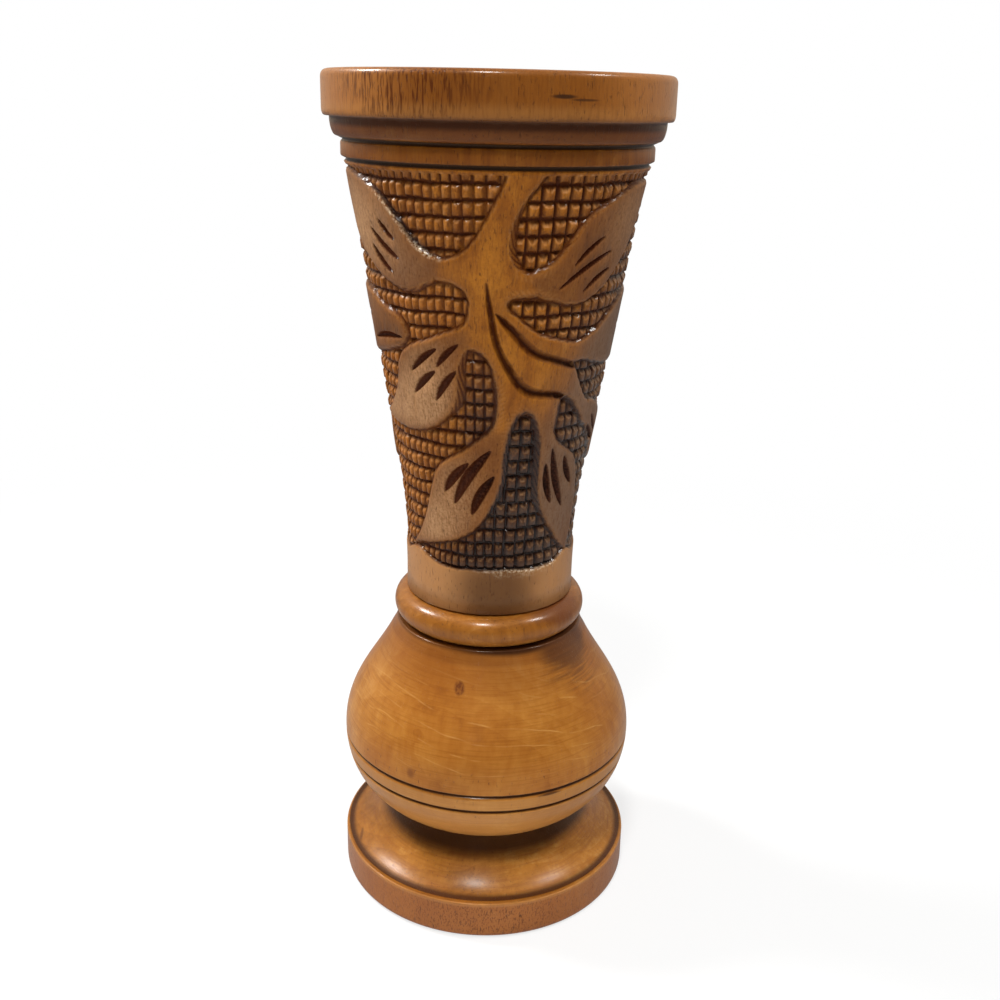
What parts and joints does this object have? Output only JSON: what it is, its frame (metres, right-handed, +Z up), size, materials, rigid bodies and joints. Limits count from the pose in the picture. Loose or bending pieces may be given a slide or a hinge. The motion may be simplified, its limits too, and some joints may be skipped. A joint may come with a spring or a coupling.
{
  "type": "vase",
  "caption": "Turned and carved wooden vase: round foot, bulb body, bead ring and a flaring neck carved with leaves on a chequered ground.",
  "frame": {"origin": "centre of the ring that the foot stands on, at the bottom of the vase", "axes": "+Z up along the turning axis, -Y towards the viewer of the picture, +X to the viewer's right"},
  "size_m": [0.0984, 0.0984, 0.254],
  "materials": {
    "foot_wood": "varnished, golden cove and browner edge",
    "dowel_wood": "bare",
    "bulb_wood": "varnished, golden ochre",
    "bead_wood": "varnished, golden orange",
    "neck_wood": "varnished, dark stain in the carved ground"
  },
  "bodies": {
    "root": {"foot": "foot_wood", "foot_dowel": "dowel_wood", "bulb_body": "bulb_wood", "neck_collar": "bead_wood", "carved_neck": "neck_wood"}
  },
  "joints": []
}
